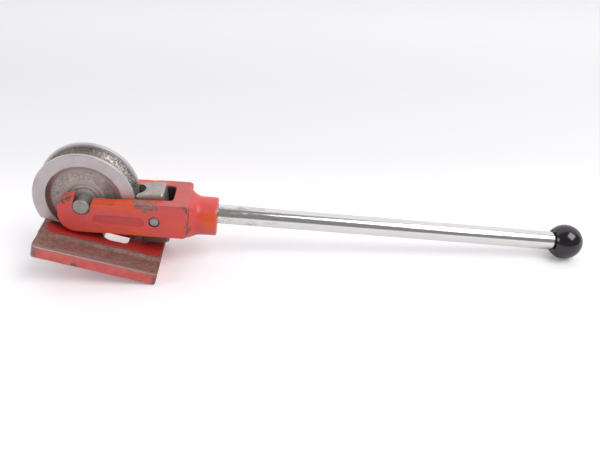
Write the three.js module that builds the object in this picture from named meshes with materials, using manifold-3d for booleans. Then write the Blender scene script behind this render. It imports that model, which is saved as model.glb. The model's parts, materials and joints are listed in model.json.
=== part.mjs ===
// Manual tube bender: a grooved former on a vice foot, and a lever with a pressure shoe that
// wraps the tube round the former. Millimetres, +Z up. The tool stands as it does when it is laid
// on a bench: on the lower right edge of its foot and on the ball of its handle. The origin is on
// the bench, below the middle of the whole tool. +X runs towards the ball and +Y along the pivot
// pin, to the back.

import * as THREE from 'three';
import { mergeVertices, toCreasedNormals } from 'three/addons/utils/BufferGeometryUtils.js';
import Module from 'manifold-3d';

const wasm = await Module();
wasm.setup();

// ---------------------------------------------------------------- driving dimensions

const leverPitch = 4.855; // how far the handle slopes down towards the ball, degrees
const footPitch = 16.355; // how far the foot slopes down to the right, degrees
const pivot = { x: -180.78, y: 10.85, height: 55.956 };

const tubeGroove = 8.15; // radius of every groove that holds the 16 mm tube
const bendRadius = 39.6; // from the pivot to the middle of the tube

const formerRadius = 38.5;
const formerHalf = 11.25; // half of its width
const formerFlat = -24.2; // the flat it is seated on, below the pivot
const pinRadius = 6;
const pinHalf = 21.7;

// The foot's frame: x along the foot, z square to its top, origin on the pivot.
const foot = { left: -26.8, right: 66.5, back: 14, top: -26.2, bottom: -38.8 };
const jaw = { front: -43.4, shoulder: -27, top: -28.4 }; // the step that the vice grips
const tubeWindow = { left: 18, right: 38.7, front: -16, back: 9.5, corner: 4 };
const seat = { right: 15, half: 10.8, top: -24.5 }; // the raised pad under the former
const seatScrews = [-14.5, 8.5];
const screwRadius = 3;
const screwTip = -16;
const screwHead = { radius: 5, recess: 0.4 };
const washer = { radius: 5, thickness: 1.3 };
const seatDowels = { x: -3, y: 5, radius: 2, bottom: -36, top: -18 };
const pinScrewRadius = 2.5;

// The lever's frame: x along the handle, origin on the pivot.
const armInner = 11.6;
const armOuter = 20.5;
const armBottom = -22.3;
const armEnd = { x: -4.5, z: -8.6, radius: 13.7 };
const hook = { radius: 6.25, lean: 13.4 };
const cavity = { end: 67, corner: 3.5 };
const headEnd = 79;
const neck = { radius: 15.2, z: -11.6, end: 100.6 };
const rod = { radius: 7.5, z: -8.9, start: 75 };
const knob = { x: 388, radius: 14.25, flat: 10.8 };
const stud = { radius: 4, end: 5 }; // the rod's thin end; lengths are past the middle of the ball
const insert = { radius: 6, end: 6.5 };
const shoePin = { x: 53.9, z: -8.6, radius: 4 };
const blankRecess = { left: 11.6, right: 42.6, z: -9.7, half: 4, depth: 0.7 };
const handleScrew = { x: 92, radius: 3, bottom: -25.6 };
const shoePinScrew = { y: 16, radius: 2, bottom: -21.8 };

// Radial clearances, and the gap between two faces that meet.
const fixedFit = 0.06; // a screw, dowel or pin that stays put
const slidingFit = 0.08; // the rod in its bores, and the shoe on its pin
const looseFit = 0.2; // a screw in its clearance hole
const headFit = 0.4; // a screw's head in its counterbore
const faceGap = 0.1;

const washerTop = foot.bottom + screwHead.recess + 2 * screwRadius + faceGap + washer.thickness;

// The shoe's frame: origin on the shoe pin, -x faces the former.
const shoe = { face: -13.1, back: 7.4, top: 18.4, bottom: -25.3, half: 11, chamfer: 1.4, tilt: 6.6 };

// ---------------------------------------------------------------- colours

const redPaint = new THREE.MeshStandardMaterial({ color: 0xc8433c, roughness: 0.45, metalness: 0.0 });
const turnedSteel = new THREE.MeshStandardMaterial({ color: 0x9d9696, roughness: 0.5, metalness: 0.9 });
const groundSteel = new THREE.MeshStandardMaterial({ color: 0xb5b0ad, roughness: 0.35, metalness: 0.9 });
const chrome = new THREE.MeshStandardMaterial({ color: 0xd6d4d2, roughness: 0.12, metalness: 1.0 });
const blackOxide = new THREE.MeshStandardMaterial({ color: 0x2b2b2d, roughness: 0.5, metalness: 0.7 });
const brass = new THREE.MeshStandardMaterial({ color: 0xb8923c, roughness: 0.35, metalness: 1.0 });
const blackBall = new THREE.MeshStandardMaterial({ color: 0x0c0c0e, roughness: 0.18, metalness: 0.0 });

// ---------------------------------------------------------------- helpers

const radians = THREE.MathUtils.degToRad;

// A closed geometry as a manifold solid. Triangles that collapse at a pole are left out.
function solid(geometry) {
  const bare = geometry.clone();
  bare.deleteAttribute('normal');
  bare.deleteAttribute('uv');
  const merged = mergeVertices(bare, 1e-5);
  const triangles = [];
  for (let i = 0; i < merged.index.count; i += 3) {
    const [a, b, c] = [0, 1, 2].map((k) => merged.index.getX(i + k));
    if (a !== b && b !== c && c !== a) {
      triangles.push(a, b, c);
    }
  }
  return new wasm.Manifold(new wasm.Mesh({
    numProp: 3,
    vertProperties: Float32Array.from(merged.attributes.position.array),
    triVerts: Uint32Array.from(triangles),
  }));
}

// A manifold solid as a named mesh.
function piece(name, body, material) {
  const mesh = body.getMesh();
  const geometry = new THREE.BufferGeometry();
  geometry.setAttribute('position', new THREE.BufferAttribute(mesh.vertProperties, 3));
  geometry.setIndex(new THREE.BufferAttribute(mesh.triVerts, 1));
  const result = new THREE.Mesh(toCreasedNormals(geometry, radians(30)), material);
  result.name = name;
  return result;
}

// An outline in x and z, pushed along y from one value to another.
function alongY(outline, from, to) {
  const geometry = new THREE.ExtrudeGeometry(outline, { depth: to - from, bevelEnabled: false });
  geometry.rotateX(Math.PI / 2);
  geometry.translate(0, to, 0);
  return solid(geometry);
}

// An outline in y and z, pushed along x.
function alongX(outline, from, to) {
  const geometry = new THREE.ExtrudeGeometry(outline, { depth: to - from, bevelEnabled: false });
  const turn = new THREE.Matrix4().makeBasis(
    new THREE.Vector3(0, 1, 0), new THREE.Vector3(0, 0, 1), new THREE.Vector3(1, 0, 0));
  geometry.applyMatrix4(turn);
  geometry.translate(from, 0, 0);
  return solid(geometry);
}

// An outline in x and y, pushed along z.
function alongZ(outline, from, to) {
  const geometry = new THREE.ExtrudeGeometry(outline, { depth: to - from, bevelEnabled: false });
  geometry.translate(0, 0, from);
  return solid(geometry);
}

// A turned body round the x, y or z axis, from [radius, place] points given in rising order.
function turned(axis, profile, segments) {
  const points = profile.map(([radius, place]) => new THREE.Vector2(radius, place));
  const geometry = new THREE.LatheGeometry(points, segments);
  if (axis === 'x') {
    geometry.rotateZ(-Math.PI / 2);
  }
  if (axis === 'z') {
    geometry.rotateX(Math.PI / 2);
  }
  return solid(geometry);
}

// A plain round bar or hole.
function bar(axis, radius, from, to, segments = 32) {
  return turned(axis, [[0, from], [radius, from], [radius, to], [0, to]], segments);
}

// A round bar with a small chamfer on both ends.
function chamferedBar(axis, radius, from, to, chamfer, segments = 32) {
  return turned(axis, [
    [0, from],
    [radius - chamfer, from],
    [radius, from + chamfer],
    [radius, to - chamfer],
    [radius - chamfer, to],
    [0, to],
  ], segments);
}

function block(x, y, z) {
  const geometry = new THREE.BoxGeometry(x[1] - x[0], y[1] - y[0], z[1] - z[0]);
  geometry.translate((x[0] + x[1]) / 2, (y[0] + y[1]) / 2, (z[0] + z[1]) / 2);
  return solid(geometry);
}

function polygon(points) {
  return new THREE.Shape(points.map(([a, b]) => new THREE.Vector2(a, b)));
}

// Points of an arc, from one angle to another in degrees.
function arc(centreA, centreB, radius, from, to, steps) {
  return Array.from({ length: steps + 1 }, (_, i) => {
    const angle = radians(from + ((to - from) * i) / steps);
    return [centreA + radius * Math.cos(angle), centreB + radius * Math.sin(angle)];
  });
}

// ---------------------------------------------------------------- the former and its fixings

// The former's section: hub boss, web, turned recess, face, rim, tube groove, and back again.
function formerProfile() {
  const web = 7.7;
  const recess = { inner: 24.2, outer: 28.9 };
  const hub = { radius: 15, half: 8.5 };
  const rimEdge = 0.7;
  const grooveSteps = 5;
  const grooveStart = Math.PI / 2 + Math.asin((bendRadius - formerRadius + 0.8) / tubeGroove);
  const groove = Array.from({ length: grooveSteps + 1 }, (_, i) => {
    const angle = grooveStart + ((Math.PI - grooveStart) * i) / grooveSteps;
    return [bendRadius + tubeGroove * Math.cos(angle), -tubeGroove * Math.sin(angle)];
  });
  const lower = [
    [0, -hub.half],
    [hub.radius, -hub.half],
    [hub.radius + 0.8, -web],
    [recess.inner, -web],
    [recess.outer, -formerHalf],
    [formerRadius - rimEdge, -formerHalf],
    [formerRadius, -formerHalf + rimEdge],
    [formerRadius, groove[0][1] - 0.8],
    ...groove,
  ];
  const upper = lower.slice(0, -1).reverse().map(([radius, y]) => [radius, -y]);
  return [...lower, ...upper];
}

function makeFormer() {
  let body = turned('y', formerProfile(), 64);
  const below = formerFlat - 30;
  const flatCut = block([-60, 60], [-20, 20], [below, formerFlat]);
  const relief = polygon([
    [seat.right, formerFlat - 2],
    [seat.right, formerFlat],
    [31, -21.5],
    [60, -21.5],
    [60, -60],
  ]);
  body = body.subtract(flatCut).subtract(alongY(relief, -20, 20));
  body = body.subtract(bar('y', pinRadius + fixedFit, -20, 20));
  body = body.subtract(bar('z', pinScrewRadius + fixedFit, below, 0, 24));
  for (const x of seatScrews) {
    body = body.subtract(bar('z', screwRadius + fixedFit, below, screwTip + 0.5, 24).translate([x, 0, 0]));
  }
  for (const y of [-seatDowels.y, seatDowels.y]) {
    body = body.subtract(bar('z', seatDowels.radius + fixedFit, below, seatDowels.top + 0.5, 20)
      .translate([seatDowels.x, y, 0]));
  }
  return piece('bend_former', body, turnedSteel);
}

function makePivotPin() {
  return piece('pivot_pin', chamferedBar('y', pinRadius, -pinHalf, pinHalf, 0.6, 40), turnedSteel);
}

// A socket head screw along z, its head at the bottom.
function socketScrew(name, x) {
  const bottom = foot.bottom + screwHead.recess;
  const shoulder = bottom + 2 * screwRadius;
  let body = bar('z', screwHead.radius, bottom, shoulder, 28);
  body = body.add(chamferedBar('z', screwRadius, shoulder - 1, screwTip, 0.5, 24));
  body = body.subtract(bar('z', screwRadius * 0.96, bottom - 1, bottom + screwRadius, 6));
  return piece(name, body.translate([x, 0, 0]), blackOxide);
}

// A split spring washer, with its gap left open.
function springWasher(name, x, from, to) {
  const hole = bar('z', screwRadius + looseFit, from - 1, to + 1, 28);
  const ring = bar('z', washer.radius, from, to, 28).subtract(hole);
  const split = block([2, washer.radius + 2], [-0.5, 0.5], [from - 1, to + 1]);
  return piece(name, ring.subtract(split).translate([x, 0, 0]), blackOxide);
}

function makeDowel(name, y) {
  const body = chamferedBar('z', seatDowels.radius, seatDowels.bottom, seatDowels.top, 0.4, 20);
  return piece(name, body.translate([seatDowels.x, y, 0]), groundSteel);
}

// A socket set screw along z, its tip at the top.
function setScrew(name, x, y, radius, from, to) {
  let body = chamferedBar('z', radius, from, to, 0.4, 20);
  body = body.subtract(bar('z', radius * 0.55, from - 1, from + radius, 6));
  return piece(name, body.translate([x, y, 0]), blackOxide);
}

// ---------------------------------------------------------------- the vice foot

function makeFoot() {
  const section = polygon([
    [jaw.front, foot.bottom + 1.4],
    [jaw.front + 1.4, foot.bottom],
    [foot.back - 1, foot.bottom],
    [foot.back, foot.bottom + 1],
    [foot.back, foot.top - 1],
    [foot.back - 1, foot.top],
    [jaw.shoulder + 2, foot.top],
    [jaw.shoulder, jaw.top],
    [jaw.front, jaw.top],
  ]);
  let body = alongX(section, foot.left, foot.right);
  body = body.add(block([foot.left, seat.right], [-seat.half, seat.half], [foot.bottom + 2, seat.top]));
  const r = tubeWindow.corner;
  const opening = polygon([
    ...arc(tubeWindow.left + r, tubeWindow.front + r, r, 180, 270, 5),
    ...arc(tubeWindow.right - r, tubeWindow.front + r, r, 270, 360, 5),
    ...arc(tubeWindow.right - 2, tubeWindow.back - 2, 2, 0, 90, 3),
    ...arc(tubeWindow.left + 2, tubeWindow.back - 2, 2, 90, 180, 3),
  ]);
  body = body.subtract(alongZ(opening, foot.bottom - 5, foot.top + 5));
  body = body.subtract(bar('z', tubeGroove + 0.1, foot.bottom - 5, foot.top + 5, 40)
    .translate([bendRadius, 0, 0]));
  for (const x of seatScrews) {
    body = body.subtract(bar('z', screwRadius + looseFit, foot.bottom - 5, foot.top + 5, 24)
      .translate([x, 0, 0]));
    body = body.subtract(bar('z', screwHead.radius + headFit, foot.bottom - 5, washerTop + faceGap, 28)
      .translate([x, 0, 0]));
  }
  for (const y of [-seatDowels.y, seatDowels.y]) {
    body = body.subtract(bar('z', seatDowels.radius + fixedFit, foot.bottom - 5, foot.top + 5, 20)
      .translate([seatDowels.x, y, 0]));
  }
  return piece('vice_foot', body, redPaint);
}

// ---------------------------------------------------------------- the lever

// Side view of the fork: round end, flat bottom, head, sloping top, open hook with its horn.
function forkSide() {
  const lean = radians(hook.lean);
  const along = (distance, side) => [
    side * hook.radius * Math.cos(lean) + distance * Math.sin(lean),
    -side * hook.radius * Math.sin(lean) + distance * Math.cos(lean),
  ];
  return polygon([
    ...arc(armEnd.x, armEnd.z, armEnd.radius, 170, 270, 9),
    ...arc(headEnd - 3, armBottom + 3, 3, 270, 350, 4),
    [85, armBottom + 3],
    [85, 2.2],
    ...arc(headEnd - 4, 3.2, 3, 10, 90, 4),
    [11, 4],
    along(7.2, 1),
    ...arc(0, 0, hook.radius, -hook.lean, -180 - hook.lean, 12),
    along(7.4, -1),
    [-7.2, 8.2],
    [-11, 6.6],
    [-14.6, 3.9],
    [-17, 0.4],
  ]);
}

// Plan view of the fork: parallel arms, then shoulders that sweep in to the neck.
function forkPlan() {
  const half = (side) => [
    [-40, side * armOuter],
    [headEnd - 4.5, side * armOuter],
    [headEnd - 1.6, side * (armOuter - 1.2)],
    [headEnd, side * (armOuter - 3.6)],
    [headEnd + 2.4, side * 14.6],
    [headEnd + 6, side * 12.4],
  ];
  return polygon([...half(-1), ...half(1).reverse()]);
}

function makeFork() {
  let body = alongY(forkSide(), -armOuter, armOuter).intersect(alongZ(forkPlan(), -60, 40));
  body = body.add(turned('x', [
    [0, headEnd - 6],
    [10.4, headEnd - 6],
    [neck.radius, headEnd + 1],
    [neck.radius, neck.end - 0.8],
    [neck.radius - 0.8, neck.end],
    [0, neck.end],
  ], 40).translate([0, 0, neck.z]));
  const { end, corner } = cavity;
  const betweenArms = polygon([
    [-40, -armInner],
    ...arc(end - corner, -armInner + corner, corner, 270, 360, 5),
    ...arc(end - corner, armInner - corner, corner, 0, 90, 5),
    [-40, armInner],
  ]);
  body = body.subtract(alongZ(betweenArms, -60, 40));
  body = body.subtract(bar('y', shoePin.radius + fixedFit, -30, 30, 32).translate([shoePin.x, 0, shoePin.z]));
  body = body.subtract(bar('x', rod.radius + slidingFit, rod.start - 0.5, neck.end + 5, 36)
    .translate([0, 0, rod.z]));
  body = body.subtract(bar('z', handleScrew.radius + fixedFit, -40, rod.z - 5, 24)
    .translate([handleScrew.x, 0, 0]));
  body = body.subtract(bar('z', shoePinScrew.radius + fixedFit, -40, shoePin.z - 3, 20)
    .translate([shoePin.x, shoePinScrew.y, 0]));
  return piece('lever_fork', body.subtract(recessCutter()), redPaint);
}

// The blank, round-ended recess in the front arm.
function recessCutter() {
  const { left, right, z, half, depth } = blankRecess;
  const outline = polygon([...arc(left, z, half, 90, 270, 8), ...arc(right, z, half, -90, 90, 8)]);
  return alongY(outline, -armOuter - 2, -armOuter + depth);
}

function makeRod() {
  const body = turned('x', [
    [0, rod.start],
    [rod.radius - 0.8, rod.start],
    [rod.radius, rod.start + 0.8],
    [rod.radius, knob.x - knob.flat - 0.7],
    [rod.radius - 0.4, knob.x - knob.flat - 0.3],
    [stud.radius, knob.x - knob.flat - 0.3],
    [stud.radius, knob.x + stud.end - 1],
    [stud.radius - 0.8, knob.x + stud.end],
    [0, knob.x + stud.end],
  ], 36);
  return piece('handle_rod', body.translate([0, 0, rod.z]), chrome);
}

function makeKnobInsert() {
  let body = bar('x', insert.radius, knob.x - knob.flat + 0.2, knob.x + insert.end, 6);
  body = body.subtract(bar('x', stud.radius + slidingFit, knob.x - knob.flat - 3, knob.x + 5.4, 36));
  return piece('knob_insert', body.translate([0, 0, rod.z]), brass);
}

function makeKnob() {
  const flatAngle = THREE.MathUtils.radToDeg(Math.acos(-knob.flat / knob.radius));
  const steps = 10;
  const ball = Array.from({ length: steps + 1 }, (_, i) => {
    const angle = radians(flatAngle * (1 - i / steps));
    return [knob.radius * Math.sin(angle), knob.x + knob.radius * Math.cos(angle)];
  });
  ball[steps] = [0, knob.x + knob.radius];
  let body = turned('x', [[0, knob.x - knob.flat], ...ball], 36);
  const socketEnd = knob.x + insert.end + faceGap;
  body = body.subtract(bar('x', insert.radius + faceGap, knob.x - knob.flat - 3, socketEnd, 6));
  return piece('ball_knob', body.translate([0, 0, rod.z]), blackBall);
}

function makeShoe() {
  const c = shoe.chamfer;
  const outline = polygon([
    [shoe.face, shoe.bottom],
    [shoe.back - 1, shoe.bottom],
    [shoe.back, shoe.bottom + 1],
    [shoe.back, shoe.top],
    [shoe.face, shoe.top],
  ]);
  const ends = polygon([
    [-shoe.half, shoe.bottom + c],
    [-shoe.half + c, shoe.bottom],
    [shoe.half - c, shoe.bottom],
    [shoe.half, shoe.bottom + c],
    [shoe.half, shoe.top - c],
    [shoe.half - c, shoe.top],
    [-shoe.half + c, shoe.top],
    [-shoe.half, shoe.top - c],
  ]);
  let body = alongY(outline, -shoe.half, shoe.half).intersect(alongX(ends, shoe.face - 1, shoe.back + 1));
  body = body.subtract(bar('z', tubeGroove, -60, 60, 48).translate([shoe.face - 1.9, 0, 0]));
  body = body.subtract(bar('y', shoePin.radius + slidingFit, -30, 30, 32));
  return piece('pressure_shoe', body, groundSteel);
}

function makeShoePin() {
  const body = chamferedBar('y', shoePin.radius, -armOuter + faceGap, armOuter - faceGap, 0.5, 32);
  return piece('shoe_pin', body.translate([shoePin.x, 0, shoePin.z]), groundSteel);
}

// ---------------------------------------------------------------- assembly

function groupAt(x, y, z, pitch, children) {
  const group = new THREE.Group();
  group.position.set(x, y, z);
  group.rotation.y = radians(pitch);
  group.add(...children);
  return group;
}

const base = groupAt(pivot.x, pivot.y, pivot.height, footPitch, [
  makeFoot(),
  makeFormer(),
  makePivotPin(),
  socketScrew('former_screw_left', seatScrews[0]),
  socketScrew('former_screw_right', seatScrews[1]),
  springWasher('former_washer_left', seatScrews[0], washerTop - washer.thickness, washerTop),
  springWasher('former_washer_right', seatScrews[1], washerTop - washer.thickness, washerTop),
  makeDowel('former_dowel_front', -seatDowels.y),
  makeDowel('former_dowel_rear', seatDowels.y),
  setScrew('pivot_pin_set_screw', 0, 0, pinScrewRadius, screwTip, -pinRadius - faceGap),
]);

const shoeGroup = groupAt(shoePin.x, 0, shoePin.z, -shoe.tilt, [makeShoe()]);

const lever = groupAt(pivot.x, pivot.y, pivot.height, leverPitch, [
  makeFork(),
  makeRod(),
  makeKnobInsert(),
  makeKnob(),
  makeShoePin(),
  setScrew('handle_set_screw', handleScrew.x, 0, handleScrew.radius, handleScrew.bottom,
    rod.z - rod.radius - faceGap),
  setScrew('shoe_pin_set_screw', shoePin.x, shoePinScrew.y, shoePinScrew.radius, shoePinScrew.bottom,
    shoePin.z - shoePin.radius - faceGap),
  shoeGroup,
]);

const tubeBender = new THREE.Group();
tubeBender.add(base, lever);

export default tubeBender;
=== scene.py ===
"""Looks of the manual tube bender: detailed castings, turned steel, chrome and worn red paint.

Every piece is modelled in millimetres in the frame of the part it belongs to (the foot, the lever
or the shoe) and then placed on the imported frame. Those local millimetres stay on the mesh as the
attribute "local", so that the materials can put wear where it belongs.
"""
import json
import math

import bmesh
import bpy
import numpy as np
from mathutils import Matrix, Vector, noise


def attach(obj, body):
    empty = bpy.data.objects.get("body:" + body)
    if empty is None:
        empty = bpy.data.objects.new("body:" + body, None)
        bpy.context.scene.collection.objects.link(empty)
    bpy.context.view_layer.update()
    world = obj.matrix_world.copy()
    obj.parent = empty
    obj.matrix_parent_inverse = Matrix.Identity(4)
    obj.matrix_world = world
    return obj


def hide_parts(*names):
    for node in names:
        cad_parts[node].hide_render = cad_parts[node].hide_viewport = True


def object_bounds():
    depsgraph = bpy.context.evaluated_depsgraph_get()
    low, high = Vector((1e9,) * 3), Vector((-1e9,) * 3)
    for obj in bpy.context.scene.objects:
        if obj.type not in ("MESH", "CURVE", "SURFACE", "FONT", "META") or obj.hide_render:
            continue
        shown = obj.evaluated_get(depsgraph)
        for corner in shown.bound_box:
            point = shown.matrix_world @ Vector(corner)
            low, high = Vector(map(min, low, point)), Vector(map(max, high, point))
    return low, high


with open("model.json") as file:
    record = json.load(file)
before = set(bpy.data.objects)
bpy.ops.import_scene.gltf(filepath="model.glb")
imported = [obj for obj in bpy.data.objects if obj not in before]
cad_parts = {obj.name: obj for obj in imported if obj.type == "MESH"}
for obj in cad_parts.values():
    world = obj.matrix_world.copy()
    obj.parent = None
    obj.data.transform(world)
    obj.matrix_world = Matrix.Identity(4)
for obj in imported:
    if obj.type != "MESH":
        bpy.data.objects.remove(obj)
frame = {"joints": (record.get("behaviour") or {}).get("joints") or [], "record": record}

CAD_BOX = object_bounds()
MM = 0.001

# ---------------- frames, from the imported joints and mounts

JOINTS = {joint["name"]: joint for joint in frame["joints"]}
MOUNTS = {mount["name"]: mount for mount in frame["record"]["mounts"]}
PIVOT = Vector(JOINTS["lever_swing"]["pos_m"])
SHOE_AXIS = Vector(JOINTS["shoe_swivel"]["pos_m"])
SHOE_PIN = (53.9, -8.6)
SHOE_TILT = math.radians(6.6)
FOOT_PITCH = math.asin(MOUNTS["vice_face_upper"]["axis"][0])
PIN_SLOPE = math.atan2(PIVOT.z - SHOE_AXIS.z, SHOE_AXIS.x - PIVOT.x)
LEVER_PITCH = PIN_SLOPE - math.atan2(-SHOE_PIN[1], SHOE_PIN[0])


def local_frame(origin, pitch):
    """Millimetres in a frame that is pitched down towards +X, as metres in the row frame."""
    return Matrix.Translation(origin) @ Matrix.Rotation(pitch, 4, "Y") @ Matrix.Scale(MM, 4)


FOOT = local_frame(PIVOT, FOOT_PITCH)
LEVER = local_frame(PIVOT, LEVER_PITCH)
SHOE = local_frame(SHOE_AXIS, LEVER_PITCH - SHOE_TILT)

# ---------------- sizes, millimetres

TUBE_GROOVE = 8.15
BEND_RADIUS = 39.6

FORMER_RADIUS = 38.5
FORMER_HALF = 11.25
FORMER_FLAT = -24.2
PIN_RADIUS = 6.0
PIN_HALF = 21.7

FOOT_LEFT, FOOT_RIGHT = -26.8, 66.5
FOOT_BACK, FOOT_TOP, FOOT_BOTTOM = 14.0, -26.2, -38.8
LEDGE_FRONT, LEDGE_BACK, LEDGE_TOP = -43.4, -27.0, -28.4
WINDOW = (18.0, 38.7, -16.0, 9.5)
SEAT_RIGHT, SEAT_HALF, SEAT_TOP = 15.0, 10.8, -24.5
SCREWS_AT = (-14.5, 8.5)
DOWEL_X, DOWEL_Y = -3.0, 5.0
WASHER_TOP = FOOT_BOTTOM + 7.8

ARM_INNER, ARM_OUTER, ARM_BOTTOM = 11.6, 20.5, -22.3
HOOK_RADIUS, HOOK_LEAN = 6.25, math.radians(13.4)
CAVITY_END, HEAD_END = 67.0, 79.0
NECK_RADIUS, NECK_Z, NECK_END = 15.2, -11.6, 100.6
ROD_RADIUS, ROD_Z, ROD_START = 7.5, -8.9, 75.0
KNOB_X, KNOB_RADIUS, KNOB_FLAT = 388.0, 14.25, 10.8
SHOE_PIN_RADIUS = 4.0
PILL_X, PILL_Z, PILL_REACH, PILL_DEPTH = 27.1, -9.9, 15.1, 0.8

SHOE_FACE, SHOE_BACK, SHOE_TOP, SHOE_BOTTOM, SHOE_HALF = -13.1, 7.4, 18.4, -25.3, 11.0

# ---------------- mesh helpers


def make_object(name, bm):
    """A linked object from a bmesh, with its faces pointing out."""
    bmesh.ops.recalc_face_normals(bm, faces=bm.faces)
    mesh = bpy.data.meshes.new(name)
    bm.to_mesh(mesh)
    bm.free()
    obj = bpy.data.objects.new(name, mesh)
    bpy.context.scene.collection.objects.link(obj)
    return obj


def arc(centre_a, centre_b, radius, start, end, steps):
    """Points of an arc from one angle to another, in degrees."""
    angles = [math.radians(start + (end - start) * i / steps) for i in range(steps + 1)]
    return [(centre_a + radius * math.cos(a), centre_b + radius * math.sin(a)) for a in angles]


PLACE = {
    "x": lambda depth, a, b: (depth, a, b),
    "y": lambda depth, a, b: (a, depth, b),
    "z": lambda depth, a, b: (a, b, depth),
}


def loft(name, axis, sections):
    """A closed body through outlines with the same number of points: [(depth, outline), ...]."""
    bm = bmesh.new()
    rings = [[bm.verts.new(PLACE[axis](depth, a, b)) for a, b in outline] for depth, outline in sections]
    for low, high in zip(rings, rings[1:]):
        for i in range(len(low)):
            j = (i + 1) % len(low)
            bm.faces.new((low[i], low[j], high[j], high[i]))
    bm.faces.new(rings[0])
    bm.faces.new(rings[-1])
    return make_object(name, bm)


def prism(name, axis, outline, start, end):
    return loft(name, axis, [(start, outline), (end, outline)])


def box(name, x, y, z):
    return prism(name, "z", [(x[0], y[0]), (x[1], y[0]), (x[1], y[1]), (x[0], y[1])], z[0], z[1])


def lathe(name, axis, profile, segments, centre=(0.0, 0.0)):
    """A turned body from (radius, depth) points. It closes on the axis, or on itself round a bore."""
    bm = bmesh.new()
    rings = []
    for radius, depth in profile:
        if radius < 1e-6:
            rings.append([bm.verts.new(PLACE[axis](depth, *centre))])
            continue
        ring = []
        for i in range(segments):
            angle = 2 * math.pi * i / segments
            a = centre[0] + radius * math.cos(angle)
            b = centre[1] + radius * math.sin(angle)
            ring.append(bm.verts.new(PLACE[axis](depth, a, b)))
        rings.append(ring)
    pairs = list(zip(rings, rings[1:]))
    if len(rings[0]) > 1:
        pairs.append((rings[-1], rings[0]))
    for low, high in pairs:
        for i in range(segments):
            j = (i + 1) % segments
            corners = [low[i % len(low)], low[j % len(low)], high[j % len(high)], high[i % len(high)]]
            corners = list(dict.fromkeys(corners))
            if len(corners) > 2:
                bm.faces.new(corners)
    return make_object(name, bm)


def bar(name, axis, radius, start, end, centre=(0.0, 0.0), segments=64):
    """A plain round cutter."""
    return lathe(name, axis, [(0, start), (radius, start), (radius, end), (0, end)], segments, centre)


def rounded(points, radius, steps=4):
    """A profile whose inner corners are rounded off by arcs of about this radius."""
    out = [points[0]]
    for before, corner, after in zip(points, points[1:], points[2:]):
        p, q, r = Vector(before), Vector(corner), Vector(after)
        reach = min(radius, (q - p).length * 0.45, (r - q).length * 0.45)
        start = q + (p - q).normalized() * reach
        end = q + (r - q).normalized() * reach
        for i in range(steps + 1):
            t = i / steps
            out.append(tuple(start * (1 - t) ** 2 + q * (2 * t * (1 - t)) + end * t ** 2))
    out.append(points[-1])
    return out


def dense(profile, step):
    """The same profile with points along its straight stretches, so that wear stays at its edges."""
    out = [profile[0]]
    for before, after in zip(profile, profile[1:]):
        count = max(1, round(math.dist(before, after) / step))
        for i in range(1, count + 1):
            t = i / count
            out.append((before[0] + (after[0] - before[0]) * t, before[1] + (after[1] - before[1]) * t))
    return out


def apply_modifiers(obj):
    graph = bpy.context.evaluated_depsgraph_get()
    done = bpy.data.meshes.new_from_object(obj.evaluated_get(graph))
    obj.modifiers.clear()
    old = obj.data
    obj.data = done
    bpy.data.meshes.remove(old)


def combine(obj, operation, *others):
    """Joins the other bodies to this one, or cuts them out of it, and removes them."""
    for other in others:
        modifier = obj.modifiers.new("combine", "BOOLEAN")
        modifier.operation = operation
        modifier.solver = "MANIFOLD"
        modifier.object = other
        apply_modifiers(obj)
        mesh = other.data
        bpy.data.objects.remove(other)
        bpy.data.meshes.remove(mesh)
    return obj


def cut(obj, *others):
    return combine(obj, "DIFFERENCE", *others)


def join(obj, *others):
    return combine(obj, "UNION", *others)


def bevel(obj, width, segments=3, angle=30):
    modifier = obj.modifiers.new("bevel", "BEVEL")
    modifier.width = width
    modifier.segments = segments
    modifier.limit_method = "ANGLE"
    modifier.angle_limit = math.radians(angle)
    modifier.harden_normals = False
    apply_modifiers(obj)
    return obj


def cast(obj, voxel, softening):
    """Turns sharp joined bodies into one skin with the soft edges of a sand casting."""
    modifier = obj.modifiers.new("remesh", "REMESH")
    modifier.mode = "VOXEL"
    modifier.voxel_size = voxel
    apply_modifiers(obj)
    modifier = obj.modifiers.new("soften", "SMOOTH")
    modifier.factor = 0.5
    modifier.iterations = softening
    apply_modifiers(obj)
    return obj


def read_vectors(mesh, what):
    values = np.empty(len(mesh.vertices) * 3)
    mesh.vertices.foreach_get(what, values)
    return values.reshape(-1, 3)


def ripple(obj, amounts, keep=None):
    """Pushes the skin in and out by smooth noise: amounts is [(height, feature size), ...]."""
    mesh = obj.data
    places = read_vectors(mesh, "co")
    normals = read_vectors(mesh, "normal")
    heights = np.zeros(len(places))
    for height, size in amounts:
        heights += [height * noise.noise(Vector(p) / size) for p in places]
    if keep is not None:
        heights *= keep(places)
    mesh.vertices.foreach_set("co", (places + normals * heights[:, None]).ravel())
    mesh.update()
    return obj


def keep_behind(obj, front):
    """Presses whatever stands in front of a plane back onto it."""
    places = read_vectors(obj.data, "co")
    places[:, 1] = np.maximum(places[:, 1], front)
    obj.data.vertices.foreach_set("co", places.ravel())
    obj.data.update()


def set_attribute(obj, name, values, kind="FLOAT"):
    attribute = obj.data.attributes.new(name, kind, "POINT")
    field = "vector" if kind == "FLOAT_VECTOR" else "value"
    attribute.data.foreach_set(field, np.asarray(values, np.float32).ravel())


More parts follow.
